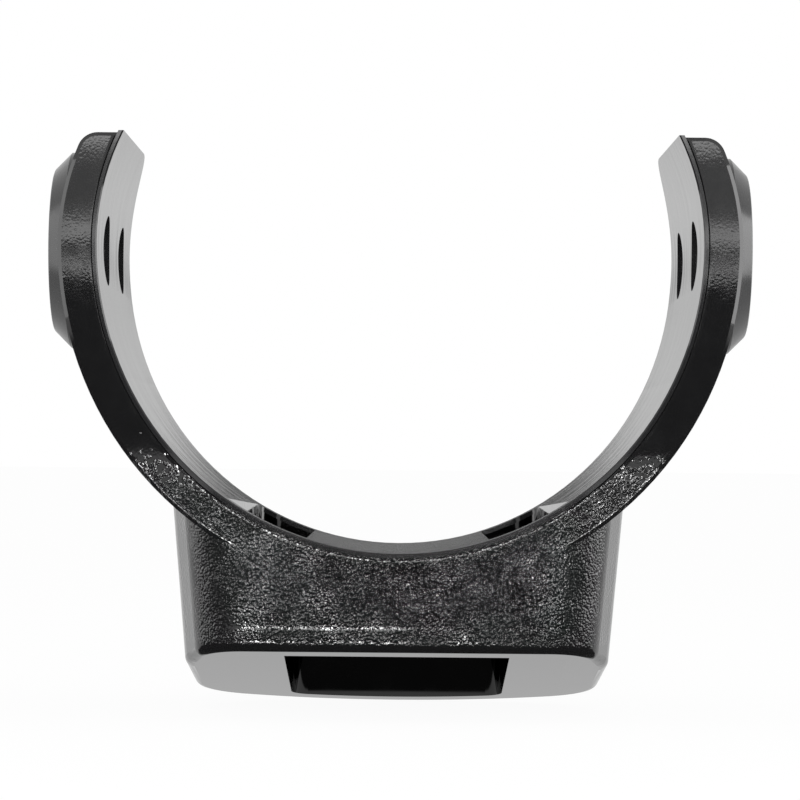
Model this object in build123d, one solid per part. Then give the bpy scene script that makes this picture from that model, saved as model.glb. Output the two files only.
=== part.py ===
from build123d import *
from math import asin, cos, degrees, radians, sin, sqrt, tan
import os

# A C-shaped saddle that grips a round tube, on a hollow foot with a sloped underside.
# X runs across the saddle, Y along the tube from the front face to the rear, Z up through
# the open mouth. The origin is on the tube's axis, half way along the saddle. Millimetres.

# ---- Saddle ----
tube_diameter = 63.0        # tube gripped by the liner
seat_half_angle = 65.0      # degrees each side of the bottom where the liner lies on the tube
flank_relief = 0.17         # gap beside the tube where the saddle is widest
liner_thickness = 0.5
band_wall = 3.6             # wall of the band behind the liner
saddle_length = 44.5        # along the tube
arm_rise = 12.2             # height of the arm tips above the tube's axis
grip_curl_radius = 26.2     # the gripping face above the widest place, where the arms close in
back_curl_radius = 25.6     # the backs of the arms above the widest place
arm_tip_fillet = 2.2
arm_rear_radius = 16.5      # rounding of each arm's rear top corner, seen from the side
band_edge_chamfer = 0.4     # outer edges of the front and rear faces
seat_edge_chamfer = 0.15    # inner edges of the front and rear faces, beside the liner
liner_stand_up = 0.2        # liner above the arm tips
liner_edge_chamfer = 0.15

# ---- Foot ----
foot_top_width = 48.9       # across the widest part of the foot, level with foot_top_drop
foot_top_drop = 23.5        # below the axis, where the foot starts inside the band
foot_side_draft = 5.0       # degrees
foot_front_height = 41.7    # from the axis down to the underside, at the front face
underside_slope = 12.0      # degrees, down towards the rear
foot_rear_setback = 2.7     # of the foot's rear from the saddle's, level with foot_top_drop
foot_rear_lean = 12.0       # degrees, square to the underside
foot_rear_bow = 40.0        # radius of the rear wall's outward bow
foot_widest_depth = 10.0    # behind the front face, where the sides are at their widest
foot_side_flare = 15.0      # degrees, of the sides in front of that
foot_front_radius = 5.5     # plan corners
foot_side_radius = 12.0
foot_rear_radius = 8.5
underside_fillet = 1.0

# ---- Foot socket ----
socket_width = 23.7
socket_front_wall = 3.5
socket_rear_wall = 3.4
socket_roof = 3.9           # solid left above the socket, under the liner
socket_rear_corner = 2.5

# ---- Floor pockets, one each side of the solid centre ----
pocket_centre_gap = 19.2    # solid floor between the two pockets
pocket_front_reach = 17.9   # from the middle to the pocket's outer edge, at its front
pocket_rear_reach = 16.1    # the same, at its rear
pocket_end_wall = 3.5       # left at the front and rear of the saddle
pocket_depth = 2.2          # below the gripping face
pocket_corner = 3.0
core_wall = 3.0             # between the socket and the deep core beside it
core_floor = 3.6            # left under the core at its front end
core_length = 27.0

# ---- Side pads ----
pad_rise = 1.3              # of a pad's face above the back of its arm
pad_lift = 0.5              # of a pad's middle above the tube's axis
pad_half_height = 10.5
pad_chamfer = 1.8
pad_centre = 21.6           # behind the front face
pad_edge_fillet = 0.4
screw_hole_diameter = 7.5
screw_spacing = 19.05
spigot_wall = 1.4           # of the tubes on the pads that pass through the arms
spigot_clearance = 0.05     # radial, in the arm's hole
pad_blank = 18.0            # thickness of a pad before its back is cut to fit the arm

# ---- Worked out from the sizes above ----
tube_radius = tube_diameter / 2
band_offset = liner_thickness + band_wall
seat_angle = radians(seat_half_angle)
flank_shift = flank_relief / (1 - sin(seat_angle))
widest_height = flank_shift * cos(seat_angle)
seat_curl_radius = grip_curl_radius + liner_thickness
front = -saddle_length / 2
rear = saddle_length / 2
spigot_radius = screw_hole_diameter / 2 + spigot_wall
pad_middle = front + pad_centre
pad_face = tube_radius + flank_relief + band_offset + pad_rise
slope_rise = tan(radians(underside_slope))
rear_lean = tan(radians(foot_rear_lean))
foot_reach = saddle_length - foot_rear_setback + foot_top_drop * rear_lean
foot_drop_deepest = (foot_front_height + foot_reach * slope_rise) / (1 + rear_lean * slope_rise)
foot_length = (foot_drop_deepest - foot_front_height) / slope_rise
far = 4 * tube_diameter     # beyond everything, for cutting tools
same_radius = 0.001         # radii closer than this are the same


def trough(offset, curl_radius, height):
    """Solid filling a trough whose wall stands off the tube by offset.

    The wall follows the tube round the bottom, eases away to its widest beside the tube,
    and closes in with curl_radius above that.
    """
    flank_radius = tube_radius + flank_shift + offset
    flank_centre = (-flank_shift * sin(seat_angle), widest_height)
    curl_centre = (flank_centre[0] + flank_radius - curl_radius, widest_height)
    curl_angle = degrees(asin((height - widest_height) / curl_radius))
    flank_angle = 90 - seat_half_angle
    with BuildPart() as block:
        with BuildSketch(Plane.XZ):
            with BuildLine():
                CenterArc((0, 0), tube_radius + offset, -90, seat_half_angle)
                CenterArc(flank_centre, flank_radius, -flank_angle, flank_angle)
                tip = CenterArc(curl_centre, curl_radius, 0, curl_angle) @ 1
                Line(tip, (0, height))
                mirror(about=Plane.YZ)
            make_face()
        extrude(amount=saddle_length / 2, both=True)
    return block.part


def end_rims(shell, offset, curl_radius):
    """Curved edges that a trough's wall leaves on a shell's front and rear faces."""
    radii = (tube_radius + offset, tube_radius + flank_shift + offset, curl_radius)
    rims = []
    for rim in shell.edges().filter_by(GeomType.CIRCLE):
        if any(abs(rim.radius - radius) < same_radius for radius in radii):
            rims.append(rim)
    return rims


def side_outline(height):
    """Block as long as the saddle, with the rear top corner rounded off."""
    with BuildPart() as block:
        with BuildSketch(Plane.YZ) as outline:
            with Locations((0, height - far / 2)):
                Rectangle(saddle_length, far)
            rear_top = outline.vertices().group_by(Axis.Y)[-1].sort_by(Axis.X)[-1]
            fillet(rear_top, arm_rear_radius)
        extrude(amount=far, both=True)
    return block.part


def band():
    """The C-shaped band, before its foot, pockets and holes."""
    block = trough(band_offset, back_curl_radius, arm_rise)
    tips = block.edges().filter_by(Axis.Y).group_by(Axis.Z)[-1]
    block = fillet(tips, arm_tip_fillet)
    end_faces = [block.faces().sort_by(Axis.Y)[0], block.faces().sort_by(Axis.Y)[-1]]
    block = chamfer([edge for face in end_faces for edge in face.edges()], band_edge_chamfer)
    shell = block - trough(liner_thickness, seat_curl_radius, arm_rise)
    shell = chamfer(end_rims(shell, liner_thickness, seat_curl_radius), seat_edge_chamfer)
    return shell & side_outline(arm_rise)


def underside_plane():
    """Plane of the foot's sloped underside, facing down and a little forwards."""
    slope = radians(underside_slope)
    return Plane(
        origin=(0, front, -foot_front_height),
        x_dir=(1, 0, 0),
        z_dir=(0, -sin(slope), -cos(slope)),
    )


def foot_outline(drop):
    """Plan outline of the foot at a drop below the axis.

    From a flat front the sides flare to their widest, then run straight to a bowed rear.
    """
    half_width = foot_top_width / 2 - (drop - foot_top_drop) * tan(radians(foot_side_draft))
    half_front = half_width - foot_widest_depth * tan(radians(foot_side_flare))
    widest = front + foot_widest_depth
    rear_middle = front + foot_length + (foot_drop_deepest - drop) * rear_lean
    rear_side = rear_middle - foot_rear_bow + sqrt(foot_rear_bow**2 - half_width**2)
    with BuildSketch(Plane.XY.offset(-drop)) as outline:
        with BuildLine():
            Line((-half_front, front), (half_front, front))
            Line((half_front, front), (half_width, widest))
            Line((half_width, widest), (half_width, rear_side))
            ThreePointArc((half_width, rear_side), (0, rear_middle), (-half_width, rear_side))
            Line((-half_width, rear_side), (-half_width, widest))
            Line((-half_width, widest), (-half_front, front))
        make_face()
        fillet(outline.vertices().group_by(Axis.Y)[-1], foot_rear_radius)
        fillet(outline.vertices().group_by(Axis.Y)[1], foot_side_radius)
        fillet(outline.vertices().group_by(Axis.Y)[0], foot_front_radius)
    return outline.sketch


def foot():
    """Drafted block under the band, cut off along the slope, with a softened lower edge."""
    bottom_drop = foot_drop_deepest + underside_fillet
    block = loft([foot_outline(foot_top_drop), foot_outline(bottom_drop)])
    block = split(block, bisect_by=underside_plane(), keep=Keep.BOTTOM)
    lower_edges = block.faces().sort_by(Axis.Z)[0].edges()
    return fillet(lower_edges, underside_fillet)


def socket():
    """Room inside the foot, open at the underside, its rear wall following the foot's."""
    half_width = socket_width / 2
    roof = -(tube_radius + liner_thickness + socket_roof)
    bow_centre = front + foot_length - foot_rear_bow
    bow_radius = foot_rear_bow - socket_rear_wall
    rear_side = bow_centre + sqrt(bow_radius**2 - half_width**2)
    front_wall = front + socket_front_wall
    with BuildPart() as room:
        with BuildSketch(Plane.XY.offset(roof)) as outline:
            with BuildLine():
                Line((-half_width, front_wall), (half_width, front_wall))
                Line((half_width, front_wall), (half_width, rear_side))
                rear_middle = (0, bow_centre + bow_radius)
                ThreePointArc((half_width, rear_side), rear_middle, (-half_width, rear_side))
                Line((-half_width, rear_side), (-half_width, front_wall))
            make_face()
            fillet(outline.vertices().group_by(Axis.Y)[-1], socket_rear_corner)
        extrude(amount=-far)
    return room.part


def pocket_prism(side):
    """Upright prism over one floor pocket. side is -1 on the left and 1 on the right."""
    near = side * pocket_centre_gap / 2
    front_end = front + pocket_end_wall
    rear_end = rear - pocket_end_wall
    corners = [
        (near, front_end),
        (side * pocket_front_reach, front_end),
        (side * pocket_rear_reach, rear_end),
        (near, rear_end),
    ]
    with BuildPart() as prism:
        with BuildSketch() as outline:
            with BuildLine():
                Polyline(*corners, close=True)
            make_face()
            rear_corners = outline.vertices().group_by(Axis.Y)[-1].sort_by(Axis.X)
            fillet(rear_corners[-1] if side > 0 else rear_corners[0], pocket_corner)
        extrude(amount=-far)
    return prism.part


def pocket(side):
    """What one floor pocket takes out of the body: a shallow recess and a deep side core."""
    prism = pocket_prism(side)
    recess = prism & (Rotation(90, 0, 0) * Cylinder(tube_radius + pocket_depth, saddle_length))
    core_inner = socket_width / 2 + core_wall
    core_middle = Location((side * (core_inner + far / 2), front + pocket_end_wall + core_length / 2))
    core = prism & (core_middle * Box(far, core_length, 2 * far))
    core = split(core, bisect_by=underside_plane().offset(-core_floor), keep=Keep.BOTTOM)
    return recess + core


def arm_bores(radius):
    """Two rods along X, through both arms, on the screw centres."""
    rod = Rotation(0, 90, 0) * Cylinder(radius, 2 * far)
    offsets = (-screw_spacing / 2, screw_spacing / 2)
    return Compound([Location((0, pad_middle + offset, pad_lift)) * rod for offset in offsets])


def saddle_body():
    """Band and foot in one moulding, with the socket, floor pockets and arm holes."""
    body = band() + (foot() - trough(liner_thickness, seat_curl_radius, arm_rise))
    body -= socket()
    body -= pocket(-1)
    body -= pocket(1)
    body -= arm_bores(spigot_radius + spigot_clearance)
    return body


def saddle_liner():
    """Thin smooth lining of the band, cut away over the pockets and the screw holes."""
    height = arm_rise + liner_stand_up
    liner = trough(liner_thickness, seat_curl_radius, height)
    liner -= trough(0, grip_curl_radius, height)
    liner = chamfer(end_rims(liner, 0, grip_curl_radius), liner_edge_chamfer)
    liner &= side_outline(height)
    liner -= pocket_prism(-1)
    liner -= pocket_prism(1)
    liner -= arm_bores(screw_hole_diameter / 2)
    return liner


def side_pad(side):
    """Raised pad on one arm's back, with two tubular spigots through the arm."""
    face = Plane(origin=(side * pad_face, pad_middle, pad_lift), x_dir=(0, 1, 0), z_dir=(side, 0, 0))
    with BuildPart() as pad:
        with BuildSketch(face):
            SlotCenterToCenter(screw_spacing, 2 * pad_half_height)
        extrude(amount=-pad_blank)
        outer_face = pad.faces().sort_by(Axis.X)[-1 if side > 0 else 0]
        chamfer(outer_face.edges(), pad_chamfer)
        outer_face = pad.faces().sort_by(Axis.X)[-1 if side > 0 else 0]
        fillet(outer_face.edges(), pad_edge_fillet)
    block = trough(band_offset, back_curl_radius, arm_rise)
    arm = block - trough(liner_thickness, seat_curl_radius, arm_rise)
    half_space = Location((side * far / 2, 0, 0)) * Box(far, far, far)
    spigots = arm & arm_bores(spigot_radius) & half_space
    return pad.part - block + spigots - arm_bores(screw_hole_diameter / 2)


def main():
    os.makedirs("parts", exist_ok=True)
    nodes = {
        "saddle_body": saddle_body(),
        "saddle_liner": saddle_liner(),
        "left_side_pad": side_pad(-1),
        "right_side_pad": side_pad(1),
    }
    for name, shape in nodes.items():
        export_step(shape, f"parts/{name}.step")
        print(name, round(shape.volume, 1), shape.bounding_box())


main()
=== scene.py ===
from math import radians

import bpy
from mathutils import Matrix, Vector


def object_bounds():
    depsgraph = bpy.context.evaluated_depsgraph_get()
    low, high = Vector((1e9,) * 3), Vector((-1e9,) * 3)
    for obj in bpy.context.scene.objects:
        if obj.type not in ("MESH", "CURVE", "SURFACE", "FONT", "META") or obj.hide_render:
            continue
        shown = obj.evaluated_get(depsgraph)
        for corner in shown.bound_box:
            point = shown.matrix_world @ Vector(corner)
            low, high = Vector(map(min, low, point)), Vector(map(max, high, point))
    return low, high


# A black moulded saddle seen along its tube, on a pale floor in a white studio.
# The frame is the CAD's: +X to the right, +Y away from the camera, +Z up, metres.

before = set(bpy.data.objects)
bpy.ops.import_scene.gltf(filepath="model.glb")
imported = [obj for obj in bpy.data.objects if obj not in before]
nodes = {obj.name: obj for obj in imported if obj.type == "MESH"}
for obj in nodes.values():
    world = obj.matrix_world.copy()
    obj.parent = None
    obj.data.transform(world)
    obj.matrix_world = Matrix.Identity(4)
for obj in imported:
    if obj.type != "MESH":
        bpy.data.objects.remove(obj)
cad_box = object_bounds()
MM = 0.001
front_face = cad_box[0].y
floor_height = cad_box[0].z

# ---- Camera ----
camera_distance = 358 * MM      # in front of the front face
camera_height = -21.2 * MM      # from the tube's axis
view_width = 83.36 * MM         # seen across the front face
view_lift = 0.0688              # of the view's width, that the frame stands above the camera's axis
camera_aside = 0.15 * MM        # to the right of the middle
camera_roll = -0.53             # degrees, so the part looks lower on its right side
sensor = 36.0
clip = (0.01, 20)               # nearest and farthest things seen

# ---- Lamps ----
# name: (distance from the front face, across and above the camera's axis, width, height,
# radiance, turn), millimetres and degrees. Unturned lamps face the part's front. No two share
# a distance where they overlap: one would hide the other.
lamps = {
    "soft_box": (358, 0, 124, 240, 120, 4.0, 0),
    "upper_panel": (357, 0, 54, 200, 20, 0.65, 0),
    "upper_strip": (356, 0, 46.0, 200, 4.6, 2.7, 0),
    "lower_strip": (356, 0, 38.8, 200, 2.4, 4.2, 0),
    "spark_lamp": (355, 0, 10, 50, 36, 42, 0),
    "left_corner_lamp": (100, -65, -14, 80, 28, 0.8, 0),
    "right_corner_lamp": (100, 65, -14, 80, 28, 0.9, 0),
    "left_side_lamp": (-20, -300, 20, 300, 240, 1.2, -90),
    "right_side_lamp": (-20, 300, 20, 300, 240, 2.6, 90),
}

# ---- Grain of every plastic ----
pebble_softness = 0.3
break_up = 0.8                  # size of the noise that breaks up the pebbles, in pebbles
facing_along = (0.3, 0.95)      # of the normal, from a face along the tube to one across it
side_share = 0.25               # of the grain's slope, on faces along the tube
patch_size = 3 * MM
patch_depth = (0.6, 1.3)        # share of the grain's slope, from patch to patch
slow_size = 2.5 * MM            # of the slow changes of shade, gloss and height
middle_range = (0.35, 0.65)     # of a noise, that is spread over a whole range
rough_range = (0.8, 1.2)        # of the roughness
shade_range = (0.85, 1.15)      # of the colour

# ---- Surface of the body ----
smooth_share = 0.008            # of the grain's slope, on the arms
grain_top = -23.5 * MM          # height at which the grain gives way to the smooth arms
grain_scatter = 14 * MM         # of that height
grain_fade = 1 * MM             # each side of that height
speck_size = 0.7 * MM
lip_heights = (-41.3 * MM, -40.95 * MM)     # smooth below the lower one
lip_share = 0.1                 # of the grain's slope, left there
front_range = (0.9, 0.98)       # of the normal along the tube, where lines are moulded
line_grain = 0.25               # of the grain's slope, left on the lines below
# level lines moulded across the foot's front: (height, half width, rise)
foot_lines = ((-39.3 * MM, 0.45 * MM, 0.035 * MM), (-40.75 * MM, 0.3 * MM, 0.01 * MM))
line_fade = (0.5 * MM, 3 * MM)  # to the right of the middle, where the foot's lines weaken
line_right = 0.3                # of their rise, left on the right
parting_line = (0, 0.15 * MM, 0.02 * MM)    # place across, half width, rise
# rims round the tube's axis: (radius, half width, rise)
inner_rim = (32.3 * MM, 0.2 * MM, 0.006 * MM)
outer_rim = (35.15 * MM, 0.2 * MM, 0.03 * MM)
rim_start = (15.5 * MM, 17.5 * MM)      # from the middle, where the outer rim leaves the foot
rim_end = (-24 * MM, -21 * MM)          # height at which the outer rim fades out
# hollows of the body with their walls, smooth inside and painted black as painted shade: two
# corners each
hollows = (
    ((-11.9 * MM, -18.9 * MM, -50 * MM), (11.9 * MM, 11.3 * MM, -35.7 * MM)),
    ((-18 * MM, -18.8 * MM, -50 * MM), (-9.5 * MM, 18.8 * MM, -24 * MM)),
    ((9.5 * MM, -18.8 * MM, -50 * MM), (18 * MM, 18.8 * MM, -24 * MM)),
)

# ---- Room ----
# What the part mirrors: a dark side behind the camera, and a dark flag low down straight behind
# the part. Directions are shares of a ray's length.
room_light = 0.8                # on the part, all round
room_front = 0.05               # mirrored in the part, from the camera's side
front_fade = (-0.55, 0.05)      # away from the camera, from the dark side to white
flag_light = 0.05               # mirrored in the part, from the flag
beside_flag = (0.03, 0.1)       # to either side, from the flag to the light beside it
beside_light = 0.85
above_flag = (0.051, 0.066)     # upwards, from the flag to the light above it
above_light = 0.68
below_flag = (0.034, 0.042)     # upwards, from the light below the flag to the flag
below_light = 0.2
floor_reach = 6.0               # from the middle to each edge
floor_colour = 0.85
floor_fade = (14 * MM, 18 * MM)         # behind the front face, where the mirrored floor lightens
floor_mirrored = 0.83           # mirrored in the part, of the floor behind that
white_share = 0.95              # of the floor's colour as the camera sees it


def material(name):
    """Empty node material: (material, its nodes, its links, its output node)."""
    made = bpy.data.materials.new(name)
    made.use_nodes = True
    tree = made.node_tree
    tree.nodes.clear()
    return made, tree.nodes, tree.links, tree.nodes.new("ShaderNodeOutputMaterial")


def add(thing):
    bpy.context.scene.collection.objects.link(thing)
    return thing


def camera():
    data = bpy.data.cameras.new("camera")
    data.sensor_width = sensor
    data.lens = sensor * camera_distance / view_width
    data.shift_y = view_lift
    data.clip_start, data.clip_end = clip
    made = add(bpy.data.objects.new("camera", data))
    made.location = (camera_aside, front_face - camera_distance, camera_height)
    made.rotation_euler = (radians(90), radians(camera_roll), 0)
    bpy.context.scene.camera = made


def lamp(name, distance, across, above, width, height, radiance, turn):
    """Flat upright lamp, with distances in millimetres."""
    data = bpy.data.lights.new(name, "AREA")
    data.shape = "RECTANGLE"
    data.size = width * MM
    data.size_y = height * MM
    data.energy = 4 * radiance * data.size * data.size_y
    made = add(bpy.data.objects.new(name, data))
    made.location = (across * MM, front_face - distance * MM, camera_height + above * MM)
    made.rotation_euler = (radians(90), 0, radians(turn))


def put(n, kind, **values):
    """New shader node with some of its settings."""
    made = n.new(kind)
    for key, value in values.items():
        setattr(made, key, value)
    return made


def maths(n, link, operation, first, second):
    """Maths node. Each of first and second is a number or a node's output."""
    made = put(n, "ShaderNodeMath", operation=operation)
    for socket, value in zip(made.inputs, (first, second)):
        if isinstance(value, (int, float)):
            socket.default_value = value
        else:
            link.new(value, socket)
    return made.outputs[0]


def ramp(n, link, value, low, high, start, end):
    """Smooth change from start to end while value goes from low to high."""
    made = put(n, "ShaderNodeMapRange", interpolation_type="SMOOTHSTEP")
    made.inputs["From Min"].default_value = low
    made.inputs["From Max"].default_value = high
    made.inputs["To Min"].default_value = start
    made.inputs["To Max"].default_value = end
    link.new(value, made.inputs["Value"])
    return made.outputs["Result"]


def noise(n, link, place, size, detail):
    made = n.new("ShaderNodeTexNoise")
    made.inputs["Scale"].default_value = 1 / size
    made.inputs["Detail"].default_value = detail
    link.new(place, made.inputs["Vector"])
    return made.outputs["Fac"]


def split(n, link, vector):
    """X, Y and Z of a vector."""
    made = n.new("ShaderNodeSeparateXYZ")
    link.new(vector, made.inputs["Vector"])
    return made.outputs


def blend(n, link, factor, first, second):
    """Colour between first and second, each a colour or a node's output."""
    made = put(n, "ShaderNodeMix", data_type="RGBA")
    link.new(factor, made.inputs["Factor"])
    for socket, value in ((made.inputs["A"], first), (made.inputs["B"], second)):
        if isinstance(value, tuple):
            socket.default_value = value
        else:
            link.new(value, socket)
    return made.outputs["Result"]


def inside(n, link, place, box):
    """1 inside a box of two corners, and 0 outside it."""
    found = 1
    for axis, low, high in zip("XYZ", *box):
        off = maths(n, link, "SUBTRACT", place[axis], (low + high) / 2)
        near = maths(n, link, "LESS_THAN", maths(n, link, "ABSOLUTE", off, 0), (high - low) / 2)
        found = maths(n, link, "MULTIPLY", found, near)
    return found


def hollow(n, link, parts):
    """1 in the hollows of the body, and 0 elsewhere."""
    found = [inside(n, link, parts, box) for box in hollows]
    return maths(n, link, "MAXIMUM", maths(n, link, "MAXIMUM", *found[:2]), found[2])


def from_axis(n, link, parts):
    """Distance from the tube's axis."""
    flat = n.new("ShaderNodeCombineXYZ")
    link.new(parts["X"], flat.inputs["X"])
    link.new(parts["Z"], flat.inputs["Z"])
    size = put(n, "ShaderNodeVectorMath", operation="LENGTH")
    link.new(flat.outputs["Vector"], size.inputs[0])
    return size.outputs["Value"]


def body_relief(n, link, place, parts, along, depth, shaded_hollow):
    """The body's smooth arms and moulded lines: (depth of the grain, steps of the lines)."""
    specks = maths(n, link, "SUBTRACT", noise(n, link, place, speck_size, 1), 0.5)
    edge = maths(n, link, "ADD", parts["Z"], maths(n, link, "MULTIPLY", specks, grain_scatter))
    low = ramp(n, link, edge, grain_top - grain_fade, grain_top + grain_fade, 1, smooth_share)
    lip = ramp(n, link, parts["Z"], *lip_heights, lip_share, 1)
    unhollowed = maths(n, link, "SUBTRACT", 1, shaded_hollow)
    for factor in (low, lip, unhollowed):
        depth = maths(n, link, "MULTIPLY", depth, factor)
    radius = from_axis(n, link, parts)
    aside = ramp(n, link, maths(n, link, "ABSOLUTE", parts["X"], 0), *rim_start, 0, 1)
    aside = maths(n, link, "MULTIPLY", aside, ramp(n, link, parts["Z"], *rim_end, 1, 0))
    front_only = maths(n, link, "MULTIPLY", unhollowed, ramp(n, link, along, *front_range, 0, 1))
    left = ramp(n, link, parts["X"], *line_fade, 1, line_right)
    steps = []
    for value, middle, half_width, rise, kept in (
        *[(parts["Z"], z, half, -rise, left) for z, half, rise in foot_lines],
        (parts["X"], *parting_line, 1),
        (radius, *inner_rim, 1),
        (radius, *outer_rim, aside),
    ):
        off = maths(n, link, "ABSOLUTE", maths(n, link, "SUBTRACT", value, middle), 0)
        line = ramp(n, link, off, 0, half_width, 1 - line_grain, 0)
        step = ramp(n, link, value, middle - half_width, middle + half_width, 0, rise)
        kept = maths(n, link, "MULTIPLY", front_only, kept)
        line = maths(n, link, "MULTIPLY", line, kept)
        step = maths(n, link, "MULTIPLY", step, kept)
        depth = maths(n, link, "MULTIPLY", depth, maths(n, link, "SUBTRACT", 1, line))
        steps.append(step)
    return depth, steps


def plastic(name, colour, roughness, pebble, slope, drawn_out=1.0, waves=0.0, body=False):
    """Black moulded plastic with pebbles of one size, in metres, and a steepest slope.

    The slope eases off on faces along the tube. drawn_out stretches the slow changes of shade
    and gloss round the tube, and waves is their height. The body has smooth arms, moulded lines
    and hollows painted black as painted shade.
    """
    made, n, link, out = material(name)
    shader = n.new("ShaderNodeBsdfPrincipled")
    link.new(shader.outputs["BSDF"], out.inputs["Surface"])
    shader.inputs["IOR"].default_value = 1.5
    where = n.new("ShaderNodeTexCoord")
    place = where.outputs["Object"]
    parts = split(n, link, place)
    facing = split(n, link, where.outputs["Normal"])
    drawn = n.new("ShaderNodeMapping")
    drawn.inputs["Scale"].default_value = (1 / drawn_out, 1, 1 / drawn_out)
    link.new(place, drawn.inputs["Vector"])
    slow = noise(n, link, drawn.outputs["Vector"], slow_size, 4)

    # mould grain: rounded pebbles broken up by noise, deeper in some patches than in others
    pebbles = put(n, "ShaderNodeTexVoronoi", feature="SMOOTH_F1")
    pebbles.inputs["Scale"].default_value = 1 / pebble
    pebbles.inputs["Smoothness"].default_value = pebble_softness
    link.new(place, pebbles.inputs["Vector"])
    dome = maths(n, link, "MULTIPLY", pebbles.outputs["Distance"], pebbles.outputs["Distance"])
    broken = noise(n, link, place, break_up * pebble, 1)
    height = maths(n, link, "SUBTRACT", broken, dome)
    along = maths(n, link, "ABSOLUTE", facing["Y"], 0)
    share = ramp(n, link, along, *facing_along, side_share, 1)
    patches = ramp(n, link, noise(n, link, place, patch_size, 3), *middle_range, *patch_depth)
    depth = maths(n, link, "MULTIPLY", maths(n, link, "MULTIPLY", share, patches), slope * pebble)
    steps = []
    if body:
        shaded_hollow = hollow(n, link, parts)
        depth, steps = body_relief(n, link, place, parts, along, depth, shaded_hollow)
    relief = maths(n, link, "MULTIPLY", height, depth)
    if waves:
        steps.append(maths(n, link, "MULTIPLY", slow, waves))
    for step in steps:
        relief = maths(n, link, "ADD", relief, step)
    bump = n.new("ShaderNodeBump")
    bump.inputs["Strength"].default_value = 1
    bump.inputs["Distance"].default_value = 1
    link.new(relief, bump.inputs["Height"])
    link.new(bump.outputs["Normal"], shader.inputs["Normal"])

    # slow changes of roughness and shade
    rough = ramp(n, link, slow, *middle_range, *[roughness * part for part in rough_range])
    link.new(rough, shader.inputs["Roughness"])
    paint = blend(n, link, slow, *[(*[c * part for c in colour], 1) for part in shade_range])
    if body:
        # painted shade: the hollows are painted black, where little light gets in
        paint = blend(n, link, shaded_hollow, paint, (0, 0, 0, 1))
    link.new(paint, shader.inputs["Base Color"])
    return made


def seen_white(n, link):
    """1 for the rays that show the surroundings: the camera's, mirrored and let through."""
    ways = n.new("ShaderNodeLightPath").outputs
    either = maths(n, link, "MAXIMUM", ways["Is Camera Ray"], ways["Is Glossy Ray"])
    return maths(n, link, "MAXIMUM", either, ways["Is Transmission Ray"])


def surroundings():
    """Room that is white to the camera. Mirrored in the part, it has a dark side and a flag."""
    world = bpy.data.worlds.new("studio")
    bpy.context.scene.world = world
    world.use_nodes = True
    n, link = world.node_tree.nodes, world.node_tree.links
    n.clear()
    out = n.new("ShaderNodeOutputWorld")
    way = split(n, link, n.new("ShaderNodeTexCoord").outputs["Generated"])
    sides = ramp(n, link, way["Y"], *front_fade, room_front, 1)
    aside = maths(n, link, "ABSOLUTE", way["X"], 0)
    beside = ramp(n, link, aside, *beside_flag, flag_light, beside_light)
    above = ramp(n, link, way["Z"], *above_flag, flag_light, above_light)
    below = ramp(n, link, way["Z"], *below_flag, below_light, flag_light)
    flag = maths(n, link, "MAXIMUM", maths(n, link, "MAXIMUM", beside, above), below)
    mirrored = maths(n, link, "MINIMUM", sides, flag)
    camera_ray = n.new("ShaderNodeLightPath").outputs["Is Camera Ray"]
    strength = maths(n, link, "MAXIMUM", mirrored, camera_ray)
    seen = n.new("ShaderNodeBackground")
    seen.inputs["Color"].default_value = (1, 1, 1, 1)
    link.new(strength, seen.inputs["Strength"])
    room = n.new("ShaderNodeBackground")
    room.inputs["Color"].default_value = (1, 1, 1, 1)
    room.inputs["Strength"].default_value = room_light
    pick = n.new("ShaderNodeMixShader")
    link.new(seen_white(n, link), pick.inputs["Fac"])
    link.new(room.outputs[0], pick.inputs[1])
    link.new(seen.outputs[0], pick.inputs[2])
    link.new(pick.outputs[0], out.inputs["Surface"])


def floor():
    """Pale floor that is white to the camera, lit when mirrored, and keeps the part's shadow."""
    mesh = bpy.data.meshes.new("floor")
    corners = [
        (-floor_reach, -floor_reach, floor_height),
        (floor_reach, -floor_reach, floor_height),
        (floor_reach, floor_reach, floor_height),
        (-floor_reach, floor_reach, floor_height),
    ]
    mesh.from_pydata(corners, [], [(0, 1, 2, 3)])
    made = add(bpy.data.objects.new("floor", mesh))
    paint, n, link, out = material("floor_paint")
    matt = n.new("ShaderNodeBsdfDiffuse")
    matt.inputs["Color"].default_value = (floor_colour, floor_colour, floor_colour, 1)
    glow = n.new("ShaderNodeEmission")
    parts = split(n, link, n.new("ShaderNodeTexCoord").outputs["Object"])
    fade = [front_face + back for back in floor_fade]
    behind = ramp(n, link, parts["Y"], *fade, room_front, floor_mirrored)
    camera_ray = n.new("ShaderNodeLightPath").outputs["Is Camera Ray"]
    link.new(maths(n, link, "MAXIMUM", camera_ray, behind), glow.inputs["Strength"])
    kept = maths(n, link, "MULTIPLY", camera_ray, 1 - white_share)
    mix = n.new("ShaderNodeMixShader")
    link.new(maths(n, link, "SUBTRACT", seen_white(n, link), kept), mix.inputs["Fac"])
    link.new(matt.outputs[0], mix.inputs[1])
    link.new(glow.outputs[0], mix.inputs[2])
    link.new(mix.outputs[0], out.inputs["Surface"])
    mesh.materials.append(paint)


def dress(name, paint):
    mesh = nodes[name].data
    mesh.materials.clear()
    mesh.materials.append(paint)


grained = plastic("grained_plastic", (0.006, 0.006, 0.0063), 0.045, 0.28 * MM, 0.3, body=True)
smooth = plastic("smooth_plastic", (0.012, 0.012, 0.0125), 0.065, 0.5 * MM, 0.0005,
                 drawn_out=12, waves=0.03 * MM)
pad_plastic = plastic("pad_plastic", (0.016, 0.016, 0.0165), 0.22, 0.25 * MM, 0.004)
dress("saddle_body", grained)
dress("saddle_liner", smooth)
dress("left_side_pad", pad_plastic)
dress("right_side_pad", pad_plastic)

camera()
for name, sizes in lamps.items():
    lamp(name, *sizes)
surroundings()
floor()

bpy.context.scene.view_settings.view_transform = "Standard"
